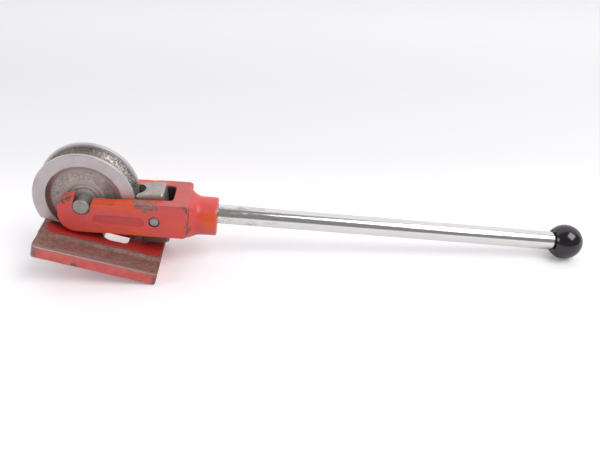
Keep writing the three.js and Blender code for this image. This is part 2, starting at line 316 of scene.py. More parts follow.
def convexity(obj, rounds):
    """How far each point stands proud of its smoothed surroundings, in millimetres."""
    mesh = obj.data
    places = read_vectors(mesh, "co")
    normals = read_vectors(mesh, "normal")
    ends = np.empty(len(mesh.edges) * 2, int)
    mesh.edges.foreach_get("vertices", ends)
    ends = ends.reshape(-1, 2)
    count = len(places)
    degree = np.maximum(np.bincount(ends.ravel(), minlength=count), 1)
    smooth = places.copy()
    for _ in range(rounds):
        for k in range(3):
            total = np.bincount(ends[:, 0], smooth[ends[:, 1], k], count)
            total += np.bincount(ends[:, 1], smooth[ends[:, 0], k], count)
            smooth[:, k] = 0.5 * smooth[:, k] + 0.5 * total / degree
    return ((places - smooth) * normals).sum(1)


def spots(places, marks):
    """1 at the middle of the nearest mark and 0 outside it. A mark is (x, y, z, reach)."""
    best = np.zeros(len(places))
    for x, y, z, reach in marks:
        distance = np.linalg.norm(places - np.array((x, y, z)), axis=1)
        best = np.maximum(best, np.clip(1 - distance / reach, 0, 1))
    return best


def place(obj, matrix, body, material, slot, *nodes, sharp=35):
    """Moves a finished piece to the row frame, paints it and makes it ride on its body."""
    set_attribute(obj, "local", read_vectors(obj.data, "co"), "FLOAT_VECTOR")
    obj.data.transform(matrix)
    obj.data.shade_smooth()
    obj.data.set_sharp_from_angle(angle=math.radians(sharp))
    obj.data.materials.clear()
    obj.data.materials.append(material)
    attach(obj, body)
    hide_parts(*nodes)
    return obj


# ---------------- shader helpers


class Shader:
    """A material whose nodes are made with short calls. A value is a number, a colour or a socket."""

    def __init__(self, name):
        self.material = bpy.data.materials.new(name)
        self.material.use_nodes = True
        self.tree = self.material.node_tree
        self.tree.nodes.clear()
        output = self.tree.nodes.new("ShaderNodeOutputMaterial")
        self.surface = self.tree.nodes.new("ShaderNodeBsdfPrincipled")
        self.tree.links.new(self.surface.outputs[0], output.inputs[0])

    def feed(self, value, socket):
        if isinstance(value, bpy.types.NodeSocket):
            self.tree.links.new(value, socket)
        elif isinstance(value, tuple) and socket.type == "RGBA":
            socket.default_value = (*value, 1.0)
        else:
            socket.default_value = value

    def local(self):
        node = self.tree.nodes.new("ShaderNodeAttribute")
        node.attribute_name = "local"
        return node.outputs["Vector"]

    def attribute(self, name):
        node = self.tree.nodes.new("ShaderNodeAttribute")
        node.attribute_name = name
        return node.outputs["Fac"]

    def axes(self, vector):
        node = self.tree.nodes.new("ShaderNodeSeparateXYZ")
        self.feed(vector, node.inputs[0])
        return node.outputs[0], node.outputs[1], node.outputs[2]

    def vector(self, x, y, z):
        node = self.tree.nodes.new("ShaderNodeCombineXYZ")
        for value, socket in zip((x, y, z), node.inputs):
            self.feed(value, socket)
        return node.outputs[0]

    def noise(self, vector, size, detail=3.0, roughness=0.5, distortion=0.0):
        """Smooth noise from 0 to 1 with features of about this size in millimetres."""
        node = self.tree.nodes.new("ShaderNodeTexNoise")
        self.feed(vector, node.inputs["Vector"])
        node.inputs["Scale"].default_value = 1.0 / size
        node.inputs["Detail"].default_value = detail
        node.inputs["Roughness"].default_value = roughness
        node.inputs["Distortion"].default_value = distortion
        return node.outputs["Fac"]

    def cells(self, vector, size):
        """Distance to the nearest of many scattered points, in cells of this size."""
        node = self.tree.nodes.new("ShaderNodeTexVoronoi")
        self.feed(vector, node.inputs["Vector"])
        node.inputs["Scale"].default_value = 1.0 / size
        return node.outputs["Distance"]

    def math(self, operation, a, b=0.0):
        node = self.tree.nodes.new("ShaderNodeMath")
        node.operation = operation
        self.feed(a, node.inputs[0])
        self.feed(b, node.inputs[1])
        return node.outputs[0]

    def times(self, a, b):
        return self.math("MULTIPLY", a, b)

    def total(self, *terms):
        """The sum of (value, weight) terms."""
        result = 0.0
        for value, weight in terms:
            result = self.math("ADD", result, self.math("MULTIPLY", value, weight))
        return result

    def between(self, value, low, high, to_low=0.0, to_high=1.0):
        """A smooth step of value from low to high."""
        node = self.tree.nodes.new("ShaderNodeMapRange")
        node.interpolation_type = "SMOOTHSTEP"
        for number, socket in zip((value, low, high, to_low, to_high), node.inputs):
            self.feed(number, socket)
        return node.outputs[0]

    def band(self, value, low, high, fall, end):
        """1 between high and fall, and 0 below low and above end."""
        falling = self.between(value, fall, end, 1.0, 0.0)
        return self.math("MULTIPLY", self.between(value, low, high), falling)

    def mix(self, amount, a, b):
        node = self.tree.nodes.new("ShaderNodeMix")
        node.data_type = "RGBA"
        self.feed(amount, node.inputs[0])
        self.feed(a, node.inputs[6])
        self.feed(b, node.inputs[7])
        return node.outputs[2]

    def blend(self, amount, a, b):
        """A number between a and b."""
        node = self.tree.nodes.new("ShaderNodeMix")
        self.feed(amount, node.inputs[0])
        self.feed(a, node.inputs[2])
        self.feed(b, node.inputs[3])
        return node.outputs[0]

    def finish(self, color, roughness, metallic, height, depth, coat=0.0, specular=0.5):
        """Feeds the surface. Height is in units of depth, which is in millimetres."""
        bump = self.tree.nodes.new("ShaderNodeBump")
        bump.inputs["Strength"].default_value = 1.0
        bump.inputs["Distance"].default_value = depth * MM
        self.feed(height, bump.inputs["Height"])
        self.feed(color, self.surface.inputs["Base Color"])
        self.feed(roughness, self.surface.inputs["Roughness"])
        self.feed(metallic, self.surface.inputs["Metallic"])
        self.feed(coat, self.surface.inputs["Coat Weight"])
        self.surface.inputs["Specular IOR Level"].default_value = specular
        self.tree.links.new(bump.outputs[0], self.surface.inputs["Normal"])
        return self.material


# ---------------- colours, linear

ROSE_RED = (0.74, 0.078, 0.066)
ORANGE_RED = (0.80, 0.095, 0.028)
DEEP_RED = (0.36, 0.014, 0.014)
# A dark colour for grime, and also for painted shade.
GRIME_AND_SHADE = (0.045, 0.022, 0.018)
PRIMER = (0.16, 0.075, 0.055)
WORN_BROWN = (0.15, 0.085, 0.065)
BARE_STEEL = (0.42, 0.39, 0.37)
STEEL_FACE = (0.62, 0.565, 0.572)
RUST = (0.17, 0.075, 0.035)
RUBBED_DARK = (0.12, 0.062, 0.05)
RUBBED_LIGHT = (0.31, 0.20, 0.165)
FOOT_RED_SHADED = (0.50, 0.028, 0.022)
LEDGE_DARK = (0.215, 0.108, 0.088)
LEDGE_LIGHT = (0.375, 0.205, 0.172)
LEDGE_RED = (0.40, 0.08, 0.065)
WEB_LIGHT = (0.56, 0.50, 0.485)
WEB_DARK = (0.27, 0.215, 0.195)
PIN_STEEL = (0.47, 0.44, 0.42)


# ---------------- materials


def paint_layers(s, local, wear, grime_and_shade, base):
    """Chips down to primer and steel, grime in the hollows, painted shade where the part's grime and
    shade attribute marks it, and the skin of the paint.
    """
    edge = s.attribute("edge")
    fine = s.noise(local, 0.9, 4.0, 0.6)
    coarse = s.noise(local, 5.0, 3.0, 0.55)
    chip_value = s.total((edge, 3.2), (fine, 0.55), (coarse, 0.65), (wear, 0.9))
    chips = s.between(chip_value, 1.16, 1.24)
    halo = s.between(chip_value, 0.98, 1.22)
    bare = s.between(s.noise(local, 1.6, 3.0, 0.6), 0.52, 0.6)
    under = s.mix(bare, PRIMER, BARE_STEEL)
    # Darkens concave creases as grime, and paints shade wherever the part's grime and shade attribute is
    # high.
    dark_grime_and_shade = s.between(s.total((edge, -5.0), (coarse, 0.35), (grime_and_shade, 1.0)), 0.3, 0.85)
    smudge = s.between(s.total((s.noise(local, 9.0, 5.0, 0.65), 1.0), (grime_and_shade, 0.4)), 0.58, 0.78, 0.0, 0.45)
    color = s.mix(halo, base, s.mix(0.45, base, GRIME_AND_SHADE))
    color = s.mix(smudge, color, s.mix(0.5, base, WORN_BROWN))
    color = s.mix(dark_grime_and_shade, color, GRIME_AND_SHADE)
    color = s.mix(chips, color, under)
    metallic = s.times(s.times(chips, bare), 0.8)
    roughness = s.total((s.noise(local, 2.5, 4.0, 0.6), 0.28), (chips, 0.2), (dark_grime_and_shade, 0.3), (0.24, 1.0))
    skin = s.noise(local, 1.1, 2.0, 0.5)
    height = s.total((chips, -1.0), (skin, 0.35), (s.noise(local, 0.25, 2.0), 0.06))
    return color, roughness, metallic, height


def lever_paint():
    """Rose red paint that has gone orange where hands and tubes rub the top of the arms and low on the
    arms, with painted light: an orange highlight on the lit front of the neck, a pale sheen on top of the
    head, and shade under the neck and on the floor of the pill recess.
    """
    s = Shader("lever_paint")
    local = s.local()
    wear = s.attribute("wear")
    warm_value = s.total((s.noise(local, 16.0, 3.0, 0.5), 1.0), (s.attribute("orange_rubbed_and_lit"), 0.55))
    orange_rubbed_and_lit = s.between(warm_value, 0.56, 0.82)
    base = s.mix(orange_rubbed_and_lit, ROSE_RED, ORANGE_RED)
    flecks = s.between(s.noise(local, 0.6, 3.0, 0.7), 0.62, 0.8, 0.0, 0.35)
    base = s.mix(flecks, base, DEEP_RED)
    color, roughness, metallic, height = paint_layers(s, local, wear, s.attribute("grime_and_shade"), base)
    ragged = s.total((s.noise(local, 3.0, 5.0, 0.7), 1.7), (s.noise(local, 1.0, 3.0, 0.7), 0.3))
    rubbed = s.between(s.total((s.attribute("scuff"), 1.0), (ragged, 1.0)), 1.2, 1.42, 0.0, 0.85)
    shades = s.between(s.noise(local, 1.6, 4.0, 0.7), 0.36, 0.64)
    rubbed_color = s.mix(shades, RUBBED_DARK, RUBBED_LIGHT)
    color = s.mix(rubbed, color, rubbed_color)
    x, _, z = s.axes(local)
    # Painted shade: the floor of the pill recess goes darker red.
    color = s.mix(s.times(s.attribute("recess"), 0.4), color, (0.42, 0.04, 0.034))
    # Painted sheen: the top of the head goes a pale, dull pink.
    head_top_sheen = s.times(s.between(z, 3.0, 6.0, 0.0, 0.5), s.between(x, 54.0, 64.0))
    color = s.mix(head_top_sheen, color, (0.40, 0.10, 0.093))
    # Painted shade: the underside of the neck goes darker red.
    neck_underside_shade = s.times(s.between(z, -24.0, -15.0, 0.6, 0.0), s.between(x, 80.0, 88.0))
    color = s.mix(neck_underside_shade, color, (0.38, 0.025, 0.02))
    return s.finish(color, roughness, metallic, height, 0.12, coat=0.12)


def foot_paint():
    """Red paint, painted lighter and pinker on the front face as if lit and darker elsewhere as painted
    shade, worn through on the ledge that the vice grips and at the left end.
    """
    s = Shader("foot_paint")
    local = s.local()
    # Painted light: the front face gets a lighter, pinker red, and every other face keeps a darker red as
    # painted shade.
    lit_front_red = s.mix(0.22, ROSE_RED, (0.62, 0.32, 0.30))
    base = s.mix(s.attribute("front"), FOOT_RED_SHADED, lit_front_red)
    base = s.mix(s.between(s.noise(local, 7.0, 4.0, 0.6), 0.35, 0.7, 0.0, 0.4), base, (0.5, 0.03, 0.025))
    wear = s.attribute("wear")
    color, roughness, metallic, height = paint_layers(s, local, wear, s.attribute("grime_and_shade"), base)
    x, y, z = s.axes(local)
    streaks = s.noise(s.vector(s.times(x, 0.05), y, z), 0.45, 3.0, 0.6)
    cloudy = s.noise(local, 3.0, 5.0, 0.7)
    worn_color = s.mix(s.between(cloudy, 0.34, 0.66), LEDGE_DARK, LEDGE_LIGHT)
    worn_color = s.mix(s.between(streaks, 0.42, 0.7, 0.0, 0.35), worn_color, (0.42, 0.33, 0.30))
    remains = s.between(s.noise(local, 2.2, 5.0, 0.7), 0.53, 0.66, 0.0, 0.7)
    worn_color = s.mix(remains, worn_color, LEDGE_RED)
    ragged = s.noise(s.vector(s.times(x, 0.3), y, z), 1.5, 4.0, 0.65)
    bare_value = s.total((s.attribute("bare"), 1.0), (s.noise(local, 1.8, 4.0, 0.6), 0.4), (ragged, 1.0))
    bare = s.between(bare_value, 1.14, 1.24)
    bright = s.attribute("bright")
    worn_color = s.mix(bright, worn_color, (0.62, 0.58, 0.54))
    color = s.mix(bare, color, worn_color)
    metallic = s.blend(bare, metallic, s.blend(bright, 0.45, 0.95))
    roughness = s.blend(bare, roughness, s.blend(bright, 0.5, 0.3))
    height = s.total((height, 1.0), (bare, -0.8), (streaks, 0.15))
    return s.finish(color, roughness, metallic, height, 0.12, coat=0.05)


def web_color(s, local, rings, radius):
    """The former's rough cast web with its turning marks and scuffs, painted shade towards +x, and the
    turned hub.
    """
    x, y, z = s.axes(local)
    hub = s.between(radius, 14.6, 15.4, 1.0, 0.0)
    web = s.mix(s.between(s.noise(local, 1.5, 5.0, 0.7), 0.42, 0.7), WEB_LIGHT, WEB_DARK)
    # Painted shade: the web is painted darker towards +x.
    web_painted_shade = s.between(s.total((x, 1.0), (s.noise(local, 8.0), 14.0)), 14.0, 26.0, 0.0, 0.55)
    web = s.mix(web_painted_shade, web, (0.16, 0.12, 0.105))
    angle = s.math("ARCTAN2", z, x)
    along = s.vector(radius, s.times(angle, 5.0), y)
    scuff_noise = s.between(s.noise(along, 1.1, 3.0, 0.65), 0.55, 0.6)
    scuffs = s.times(s.band(radius, 15.0, 16.0, 18.2, 19.6), scuff_noise)
    scuffs = s.times(scuffs, s.between(s.total((z, 1.0), (x, -0.6)), 6.0, 13.0))
    lathe_marks = s.band(radius, 15.0, 15.6, 20.5, 23.5)
    arcs = s.times(lathe_marks, s.between(rings, 0.5, 0.62, 0.0, 0.6))
    web = s.mix(arcs, web, (0.68, 0.62, 0.60))
    web = s.mix(scuffs, web, (0.85, 0.70, 0.47))
    turned_hub = s.mix(s.between(rings, 0.35, 0.65), (0.72, 0.67, 0.65), (0.42, 0.37, 0.35))
    return s.mix(hub, web, turned_hub), hub


def former_steel():
    """Turned steel: fine rings on the face, a rough cast web with scuffs, a worn groove, and painted
    shade on the web and on the lower left of the recess wall.
    """
    s = Shader("former_steel")
    local = s.local()
    x, y, z = s.axes(local)
    radius = s.math("SQRT", s.total((s.times(x, x), 1.0), (s.times(z, z), 1.0)))
    rings = s.noise(s.vector(radius, y, 0.0), 0.28, 3.0, 0.7)
    broad = s.noise(local, 9.0, 4.0, 0.6)
    pits = s.between(s.cells(local, 3.4), 0.05, 0.11, 1.0, 0.0)
    pits = s.times(pits, s.between(s.noise(local, 3.1, 2.0), 0.5, 0.6))
    web = s.between(radius, 24.0, 25.2, 1.0, 0.0)
    wall = s.band(radius, 23.6, 26.2, 28.6, 28.95)
    inside_rims = s.between(s.math("ABSOLUTE", y), 7.4, 7.7, 1.0, 0.0)
    groove = s.times(s.between(radius, 37.9, 38.3, 1.0, 0.0), inside_rims)
    color = s.mix(s.between(broad, 0.35, 0.7), STEEL_FACE, (0.565, 0.51, 0.517))
    color = s.mix(s.between(rings, 0.4, 0.75, 0.0, 0.45), color, (0.70, 0.65, 0.655))
    web_and_hub, hub = web_color(s, local, rings, radius)
    color = s.mix(web, color, web_and_hub)
    # Painted shade: the recess wall gets darker towards its lower left.
    lower_left_shade = s.total((x, -0.7), (z, -0.7), (s.noise(local, 6.0), 8.0))
    wall_light = s.mix(s.noise(local, 2.0), (0.66, 0.59, 0.57), (0.48, 0.41, 0.39))
    wall_with_painted_shade = s.mix(s.between(lower_left_shade, 2.0, 26.0), wall_light, (0.22, 0.16, 0.145))
    color = s.mix(wall, color, wall_with_painted_shade)
    mottle = s.noise(local, 1.3, 5.0, 0.75)
    toward = s.total((x, 0.5), (z, 0.25), (s.noise(local, 5.0, 4.0, 0.7), 14.0))
    patch = s.times(s.between(toward, 14.0, 24.0), s.between(mottle, 0.44, 0.56))
    dull = s.mix(s.between(mottle, 0.36, 0.66), (0.15, 0.125, 0.105), (0.36, 0.32, 0.29))
    color = s.mix(groove, color, s.mix(patch, dull, (0.68, 0.655, 0.62)))
    color = s.mix(s.times(pits, 0.8), color, (0.07, 0.05, 0.045))
    stain = s.between(s.noise(local, 4.0, 5.0, 0.7), 0.62, 0.74, 0.0, 0.5)
    color = s.mix(stain, color, RUST)
    bright = s.between(s.attribute("edge"), 0.03, 0.10)
    color = s.mix(bright, color, (0.66, 0.64, 0.63))
    roughness = s.total((0.38, 1.0), (rings, 0.12), (web, 0.16), (groove, 0.02), (mottle, 0.14))
    metallic = s.blend(web, 0.75, s.blend(hub, 0.45, 0.7))
    rough_cast = s.times(s.noise(local, 0.7, 4.0, 0.7), web)
    height = s.total((rings, 0.35), (pits, -1.2), (rough_cast, 1.2))
    return s.finish(color, roughness, metallic, height, 0.05)


def bare_steel(name, light, dark, roughness, stretch, grain, brown_below=None):
    """Machined steel with grain along one axis, stains, bright edges, and a darker brown lower end."""
    s = Shader(name)
    local = s.local()
    x, y, z = s.axes(local)
    stretched = [s.times(a, k) for a, k in zip((x, y, z), stretch)]
    lines = s.noise(s.vector(*stretched), grain, 4.0, 0.7)
    cloudy = s.noise(local, 4.5, 5.0, 0.65)
    color = s.mix(s.between(cloudy, 0.32, 0.7), light, dark)
    color = s.mix(s.between(lines, 0.45, 0.8, 0.0, 0.5), color, tuple(0.45 * c for c in dark))
    stain = s.between(s.noise(local, 2.6, 5.0, 0.75), 0.6, 0.74, 0.0, 0.6)
    color = s.mix(stain, color, (0.14, 0.09, 0.055))
    if brown_below is not None:
        # The colour goes darker brown towards the lower end.
        depth = s.total((z, 1.0), (cloudy, 5.0))
        darker_brown_low = s.between(depth, brown_below - 6.0, brown_below, 0.85, 0.0)
        color = s.mix(darker_brown_low, color, (0.15, 0.115, 0.095))
    bright = s.between(s.attribute("edge"), 0.02, 0.08)
    color = s.mix(bright, color, (0.72, 0.7, 0.67))
    rough = s.total((roughness, 1.0), (lines, 0.15), (stain, 0.25), (bright, -0.08))
    height = s.total((lines, 0.7), (s.noise(local, 0.5, 4.0, 0.7), 0.5))
    return s.finish(color, rough, 0.8, height, 0.03)


def rod_chrome():
    """Polished chrome with faint draw lines, smears and grey streaks close to the neck."""
    s = Shader("rod_chrome")
    local = s.local()
    x, y, z = s.axes(local)
    drawn = s.noise(s.vector(s.times(x, 0.02), y, z), 0.35, 3.0, 0.6)
    smear = s.noise(s.vector(s.times(x, 0.25), y, z), 3.0, 5.0, 0.7)
    near = s.between(x, NECK_END + 2.0, NECK_END + 70.0, 1.0, 0.0)
    streaks = s.times(near, s.between(smear, 0.5, 0.62))
    specks = s.between(s.cells(local, 2.2), 0.03, 0.09, 0.5, 0.0)
    color = s.mix(s.between(smear, 0.4, 0.7, 0.0, 0.3), (0.80, 0.775, 0.765), (0.66, 0.635, 0.62))
    color = s.mix(s.times(streaks, 0.7), color, (0.33, 0.31, 0.29))
    color = s.mix(s.times(specks, s.between(smear, 0.52, 0.6)), color, (0.2, 0.17, 0.15))
    rough = s.total((0.09, 1.0), (smear, 0.10), (streaks, 0.28), (drawn, 0.04))
    height = s.total((drawn, 0.5), (smear, 0.3))
    return s.finish(color, rough, 1.0, height, 0.006)


def knob_black():
    """Moulded black plastic: glossy, with dust, faint turned lines and a soft skin."""
    s = Shader("knob_black")
    local = s.local()
    x, y, z = s.axes(local)
    turned = s.noise(s.vector(x, s.times(y, 0.1), s.times(z, 0.1)), 0.5, 3.0, 0.6)
    dust = s.between(s.cells(local, 1.6), 0.03, 0.1, 1.0, 0.0)
    dust = s.times(dust, s.between(s.noise(local, 3.0, 3.0), 0.5, 0.62))
    color = s.mix(s.noise(local, 6.0, 4.0), (0.003, 0.0025, 0.003), (0.008, 0.006, 0.008))
    color = s.mix(s.times(dust, 0.3), color, (0.3, 0.28, 0.26))
    rough = s.total((0.09, 1.0), (s.noise(local, 5.0, 5.0, 0.7), 0.12), (dust, 0.3))
    height = s.total((turned, 0.3), (s.noise(local, 2.5), 0.6))
    s.surface.inputs["Specular Tint"].default_value = (1.0, 0.86, 0.98, 1.0)
    return s.finish(color, rough, 0.0, height, 0.012, specular=0.82)


def black_screw():
    s = Shader("black_screw")
    local = s.local()
    fine = s.noise(local, 0.8, 4.0, 0.6)
    worn = s.between(s.total((s.attribute("edge"), 4.0), (fine, 0.8)), 0.62, 0.8)
    color = s.mix(s.noise(local, 2.0), (0.018, 0.018, 0.02), (0.045, 0.04, 0.038))
    color = s.mix(worn, color, (0.32, 0.3, 0.28))
    return s.finish(color, s.total((0.38, 1.0), (fine, 0.25)), 0.85, fine, 0.02)


def insert_brass():
    s = Shader("insert_brass")
    local = s.local()
    fine = s.noise(local, 0.7, 4.0, 0.6)
    color = s.mix(s.between(fine, 0.4, 0.7), (0.60, 0.40, 0.13), (0.33, 0.2, 0.07))
    return s.finish(color, s.total((0.28, 1.0), (fine, 0.2)), 1.0, fine, 0.02)


def floor_white():
    """A matt white table with a very fine grain, and a faint glow that only the camera sees."""
    s = Shader("floor_white")
    node = s.tree.nodes.new("ShaderNodeTexCoord")
    metres = node.outputs["Object"]
    grain = s.noise(metres, 0.004, 3.0, 0.6)
    color = s.mix(grain, (0.90, 0.895, 0.91), (0.93, 0.925, 0.94))
    y = s.axes(metres)[1]
    seen = s.tree.nodes.new("ShaderNodeLightPath").outputs["Is Camera Ray"]
    glow = s.total((s.between(y, 0.0, 0.22, 0.17, 0.0), 1.0), (s.between(y, 0.35, 0.8, 0.0, 0.12), 1.0))
    s.feed((0.97, 0.95, 1.0), s.surface.inputs["Emission Color"])
    s.feed(s.times(seen, glow), s.surface.inputs["Emission Strength"])
    return s.finish(color, 0.7, 0.0, grain, 0.01, specular=0.15)


# ---------------- the foot and what is bolted to it


def on_web(places):
    """1 on the former's cast web, between the turned hub and the turned rim."""
    radius = np.hypot(places[:, 0], places[:, 2])
    return np.clip(24.6 - radius, 0, 1) * (radius > 15.3)


def build_former(material):
    web, hub_half = 7.7, 8.5
    face = rounded([
        (PIN_RADIUS + 0.08, -hub_half),
        (8.2, -hub_half),
        (8.5, -hub_half + 0.3),
        (9.3, -hub_half + 0.3),
        (9.6, -hub_half),
        (11.4, -hub_half),
        (11.7, -hub_half + 0.25),
        (12.3, -hub_half + 0.25),
        (12.6, -hub_half),
        (14.6, -hub_half),
        (15.4, -web),
        (24.2, -web),
        (26.4, -web - 1.1),
        (28.9, -FORMER_HALF),
        (FORMER_RADIUS - 0.6, -FORMER_HALF),
        (FORMER_RADIUS, -FORMER_HALF + 0.6),
        (FORMER_RADIUS, -9.2),
        (FORMER_RADIUS - 0.5, -8.2),
    ], 0.45, 3)
    start = math.pi / 2 + math.asin((BEND_RADIUS - FORMER_RADIUS + 0.55) / TUBE_GROOVE)
    steps = 18
    groove = []
    for i in range(steps + 1):
        angle = start + (math.pi - start) * i / steps
        groove.append((BEND_RADIUS + TUBE_GROOVE * math.cos(angle), -TUBE_GROOVE * math.sin(angle)))
    half = dense(face[:-1] + groove, 0.8)
    profile = half + [(r, -y) for r, y in reversed(half[:-1])]
    disc = lathe("former_disc", "y", profile, 256)
    low = FORMER_FLAT - 30
    relief = [(SEAT_RIGHT, low), (SEAT_RIGHT, FORMER_FLAT), (31, -21.5), (60, -21.5), (60, low)]
    flat = box("flat", (-60, 60), (-20, 20), (low, FORMER_FLAT))
    cut(disc, flat, prism("relief", "y", relief, -20, 20))
    holes = [bar("hole", "z", 3.06, low, -15.5, (x, 0)) for x in SCREWS_AT]
    holes += [bar("hole", "z", 2.06, low, -17.5, (DOWEL_X, y)) for y in (-DOWEL_Y, DOWEL_Y)]
    holes.append(bar("hole", "z", 2.56, low, 0))
    cut(disc, *holes)
    set_attribute(disc, "edge", convexity(disc, 3))
    ripple(disc, [(0.22, 3.0), (0.12, 1.2)], on_web)
    return place(disc, FOOT, "base", material, "turned_steel", "bend_former", sharp=30)


def build_pin(name, axis_radius, half, matrix, body, material, slot, centre=(0.0, 0.0)):
    """A pin with small rounded chamfers and a barely visible dip in its ends."""
    ends = rounded([
        (0.0, -half),
        (axis_radius * 0.5, -half + 0.02),
        (axis_radius - 0.9, -half),
        (axis_radius, -half + 0.9),
        (axis_radius, -half + 4.0),
    ], 0.25, 3)
    profile = ends + [(axis_radius, 0.0)] + [(r, -y) for r, y in reversed(ends)]
    pin = lathe(name, "y", dense(profile, 0.8), 96, centre)
    set_attribute(pin, "edge", convexity(pin, 2))
    return place(pin, matrix, body, material, slot, name.replace("_steel", ""), sharp=40)


def corner_cutter(x, y, radius, side):
    """What rounds an upright corner off: side is 1 for a left end and -1 for a right end."""
    centre = (x + side * radius, y + radius)
    curve = arc(*centre, radius, 270, 180, 8) if side > 0 else arc(*centre, radius, 270, 360, 8)
    outline = [(x - side * 3, y - 3), (centre[0], y - 3)] + curve + [(x - side * 3, centre[1])]
    return prism("corner", "z", outline, -60, 0)


def foot_solid():
    section = rounded([
        (0.0, FOOT_BOTTOM),
        (LEDGE_FRONT, FOOT_BOTTOM),
        (LEDGE_FRONT, LEDGE_TOP + 3.0),
        (LEDGE_BACK + 1.7, LEDGE_TOP + 3.0),
        (LEDGE_BACK + 1.7, FOOT_TOP + 0.05),
        (FOOT_BACK, FOOT_TOP + 0.05),
        (FOOT_BACK, FOOT_BOTTOM),
        (0.0, FOOT_BOTTOM),
    ], 1.2, 4)[:-1]
    foot = prism("vice_foot_casting", "x", section, FOOT_LEFT, FOOT_RIGHT)
    join(foot, box("seat", (FOOT_LEFT, SEAT_RIGHT), (-SEAT_HALF, SEAT_HALF), (FOOT_BOTTOM + 2, SEAT_TOP)))
    x0, x1, y0, y1 = WINDOW
    window = arc(x0 + 8, y0 + 8, 8, 180, 270, 12) + arc(x1 - 4, y0 + 4, 4, 270, 360, 8)
    window += arc(x1 - 2, y1 - 2, 2, 0, 90, 4) + arc(x0 + 2, y1 - 2, 2, 90, 180, 4)
    cut(foot, prism("window", "z", window, -60, 0))
    left_corner = corner_cutter(FOOT_LEFT, LEDGE_FRONT, 3.2, 1)
    cut(foot, left_corner, corner_cutter(FOOT_RIGHT, LEDGE_FRONT, 1.6, -1))
    cast(foot, 0.5, 5)
    ripple(foot, [(0.25, 14.0), (0.10, 4.0), (0.05, 1.3)])
    keep_behind(foot, LEDGE_FRONT)
    ledge = prism("ledge", "x", [
        (LEDGE_FRONT - 5, LEDGE_TOP), (LEDGE_BACK, LEDGE_TOP), (LEDGE_BACK + 2.0, FOOT_TOP + 0.1),
        (LEDGE_BACK + 2.0, 0), (LEDGE_FRONT - 5, 0),
    ], FOOT_LEFT - 5, FOOT_RIGHT + 5)
    groove = bar("groove", "z", TUBE_GROOVE + 0.1, -60, 0, (BEND_RADIUS, 0), 96)
    cut(foot, ledge, groove, box("flat", (-60, 90), (-60, 40), (-60, FOOT_BOTTOM)))
    return foot


def build_foot(material):
    foot = foot_solid()
    holes = [bar("hole", "z", 3.2, -60, 0, (x, 0)) for x in SCREWS_AT]
    holes += [bar("bore", "z", 5.4, -60, FOOT_BOTTOM + 7.9, (x, 0)) for x in SCREWS_AT]
    holes += [bar("hole", "z", 2.06, -60, 0, (DOWEL_X, y)) for y in (-DOWEL_Y, DOWEL_Y)]
    cut(foot, *holes)
    mesh_places = read_vectors(foot.data, "co")
    x, y, z = mesh_places.T
    normals = read_vectors(foot.data, "normal")
    on_groove = np.abs(np.hypot(x - BEND_RADIUS, y) - TUBE_GROOVE - 0.1) < 0.03
    set_attribute(foot, "edge", np.where(on_groove, 0.0, convexity(foot, 8)))
    on_ledge = (y < LEDGE_BACK + 0.4) & (z > LEDGE_TOP - 1.2)
    left_end = np.clip((FOOT_LEFT + 8.0 - x) / 7.0, 0, 1) * (y < -10)
    top_lip = np.clip(1 - np.abs(y - (LEDGE_BACK + 1.6)) / 7.0, 0, 1) * 0.68 * (z > LEDGE_TOP - 1.0)
    bare = np.maximum.reduce([on_ledge * 0.8, left_end * 0.9, top_lip, on_groove * 0.8])
    set_attribute(foot, "bare", bare)
    front_lip = np.clip(1 - np.hypot(y - LEDGE_FRONT, z - LEDGE_TOP) / 0.9, 0, 1)
    set_attribute(foot, "bright", front_lip)
    # 1 on the front face, which the paint makes lighter and pinker as a painted highlight.
    set_attribute(foot, "front", np.clip((-y - 24.0) / 2.0, 0, 1))
    set_attribute(foot, "wear", spots(mesh_places, [
        (FOOT_LEFT, -30, -34, 9), (48, -26, FOOT_TOP, 5), (FOOT_RIGHT, -20, FOOT_TOP, 6),
        (-22, -24, FOOT_TOP, 7), (FOOT_RIGHT, -43, -33, 8), (5, LEDGE_FRONT, -37, 5),
    ]))
    # Painted shadow on the foot's top under the former's front flange, and painted shade on every face
    # that points down.
    shade_under_former = np.clip(1 - np.abs(y + 11) / 6, 0, 1) * (z > -27) * (x < 30)
    set_attribute(foot, "grime_and_shade", shade_under_former * 0.5 + (normals[:, 2] < -0.8) * 0.3)
    return place(foot, FOOT, "base", material, "red_paint", "vice_foot")


def hexagon(radius, centre):
    return arc(centre[0], centre[1], radius, 0, 300, 5)


def hex_cutter(radius, start, end, centre):
    return prism("hex", "z", hexagon(radius, centre), start, end)


def build_washer(side, x, material):
    """A spring washer: a ring with rounded edges, cut across and slightly skewed at the split."""
    top = WASHER_TOP
    low = top - 1.3
    profile = [(3.2, low), (5.0, low), (5.0, top), (3.2, top)]
    ring = lathe(f"former_washer_{side}_split", "z", profile, 96, (x, 0))
    gap = [(x + 2, -0.75), (x + 7, -0.2), (x + 7, 0.75), (x + 2, 0.2)]
    cut(ring, prism("split", "z", gap, low - 1, top + 1))
    bevel(ring, 0.15, 2, 40)
    set_attribute(ring, "edge", convexity(ring, 2))
    return place(ring, FOOT, "base", material, "black_oxide", "former_washer_" + side, sharp=35)


def build_dowel(side, y, material):
    """A ground dowel with a short chamfer at the bottom and a long one at the top."""
    low, top, radius = -36.0, -18.0, 2.0
    profile = rounded([(0, low), (radius - 0.5, low), (radius, low + 0.7), (radius, -27.0),
                       (radius, top - 1.1), (radius - 0.4, top), (0, top)], 0.3, 3)
    dowel = lathe(f"former_dowel_{side}_ground", "z", dense(profile, 0.6), 64, (DOWEL_X, y))
    set_attribute(dowel, "edge", convexity(dowel, 2))
    return place(dowel, FOOT, "base", material, "ground_steel", "former_dowel_" + side, sharp=35)


